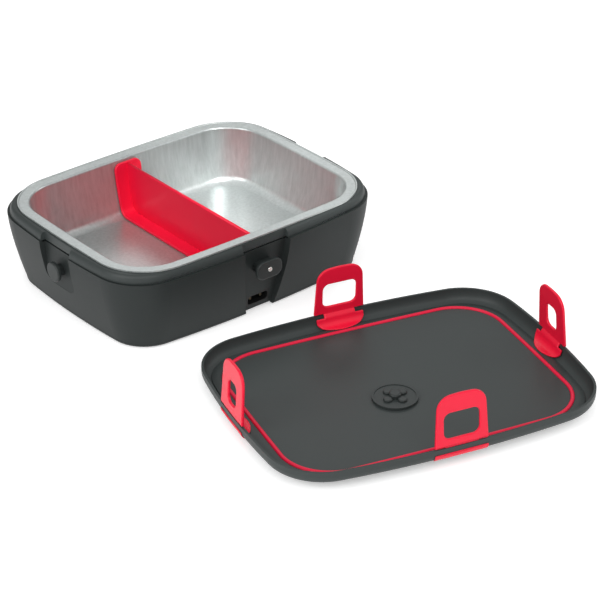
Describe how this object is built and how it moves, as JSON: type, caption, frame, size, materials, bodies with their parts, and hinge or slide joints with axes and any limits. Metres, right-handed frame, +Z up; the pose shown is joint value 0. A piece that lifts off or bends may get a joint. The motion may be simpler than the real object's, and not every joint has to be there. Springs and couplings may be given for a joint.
{
  "type": "electric lunch box",
  "caption": "Heated lunch box: dark bowed base with a lift-out steel dish and soft divider, and a loose lid with four soft straps, laid upside down beside it.",
  "frame": {"origin": "middle of the base's underside, on the table", "axes": "+Z up, X along the base's long side, -Y towards the loose lid"},
  "size_m": [0.2764, 0.4684, 0.0681],
  "materials": {
    "shell": "dark grey, fine matt texture",
    "lid_shell": "dark grey, fine matt texture",
    "cover": "dark grey, matt",
    "foot_rubber": "matt",
    "screw_steel": "plain",
    "liner_aluminium": "drawn, satin",
    "plate_aluminium": "cast, matt",
    "element_steel": "dull",
    "insulation": "white felt",
    "thermostat_body": "moulded",
    "fuse_body": "moulded",
    "lead_sleeve": "matt",
    "socket_black": "moulded",
    "pin_brass": "plain",
    "peg_dark": "dark grey, matt",
    "pilot_metal": "bright dot",
    "dish_steel": "satin with a bright rim",
    "red_silicone": "soft, matt",
    "gasket_silicone": "soft, matt",
    "lid_panel": "grey, satin",
    "valve_grey": "grey, satin",
    "valve_hub_dark": "dark grey, satin"
  },
  "bodies": {
    "base": {"housing": "shell", "collar": "shell", "inner_liner": "liner_aluminium", "bottom_cover": "cover", "cover_screws": "screw_steel", "feet": "foot_rubber", "heating_plate": "plate_aluminium", "heating_element": "element_steel", "insulation_pad": "insulation", "thermostat": "thermostat_body", "thermal_fuse": "fuse_body", "leads": "lead_sleeve", "inlet_socket": "socket_black", "inlet_pins": "pin_brass", "front_peg": "peg_dark", "pilot_light": "pilot_metal", "back_peg": "peg_dark", "side_pegs": "peg_dark"},
    "dish": {"dish": "dish_steel"},
    "divider": {"divider": "red_silicone"},
    "valve": {"valve_disc": "valve_grey", "valve_hub": "valve_hub_dark"},
    "lid": {"lid_shell": "lid_shell", "lid_inner": "lid_panel", "gasket": "gasket_silicone", "anchor_front": "red_silicone", "anchor_back": "red_silicone", "anchor_left": "red_silicone", "anchor_right": "red_silicone"},
    "strap_front": {"strap_front": "red_silicone"},
    "strap_back": {"strap_back": "red_silicone"},
    "strap_left": {"strap_left": "red_silicone"},
    "strap_right": {"strap_right": "red_silicone"}
  },
  "joints": [
    {"name": "dish_lift", "type": "slide", "parent": "base", "child": "dish", "axis": [0, 0, 1], "range_m": [0, 0.12]},
    {"name": "divider_lift", "type": "slide", "parent": "dish", "child": "divider", "axis": [0, 0, 1], "range_m": [0, 0.07]},
    {"name": "lid_turn_over", "type": "hinge", "parent": "base", "child": "valve", "pos_m": [-0.01064, -0.12272, 0.03845], "axis": [0.9999, -0.0133, 0], "range_deg": [-180, 0]},
    {"name": "lid_swivel", "type": "hinge", "parent": "valve", "child": "lid", "pos_m": [-0.01247, -0.26054, 0], "axis": [0, 0, 1], "range_deg": [0, 13.8]},
    {"name": "strap_front_flex", "type": "hinge", "parent": "lid", "child": "strap_front", "pos_m": [0.02643, -0.15175, 0.0171], "axis": [-0.9645, 0.264, 0], "range_deg": [0, 100], "stiffness_Nm_per_rad": 0.01, "deforming": ["strap_front"]},
    {"name": "strap_back_flex", "type": "hinge", "parent": "lid", "child": "strap_back", "pos_m": [-0.02643, -0.34485, 0.0171], "axis": [0.9645, -0.264, 0], "range_deg": [0, 100], "stiffness_Nm_per_rad": 0.01, "deforming": ["strap_back"]},
    {"name": "strap_left_flex", "type": "hinge", "parent": "lid", "child": "strap_left", "pos_m": [-0.12365, -0.21445, 0.0171], "axis": [-0.264, -0.9645, 0], "range_deg": [0, 100], "stiffness_Nm_per_rad": 0.01, "deforming": ["strap_left"]},
    {"name": "strap_right_flex", "type": "hinge", "parent": "lid", "child": "strap_right", "pos_m": [0.12365, -0.28215, 0.0171], "axis": [0.264, 0.9645, 0], "range_deg": [0, 100], "stiffness_Nm_per_rad": 0.01, "deforming": ["strap_right"]}
  ],
  "couplings": [
    {"joint": "lid_swivel", "follows": "lid_turn_over", "ratio": -0.076569}
  ]
}
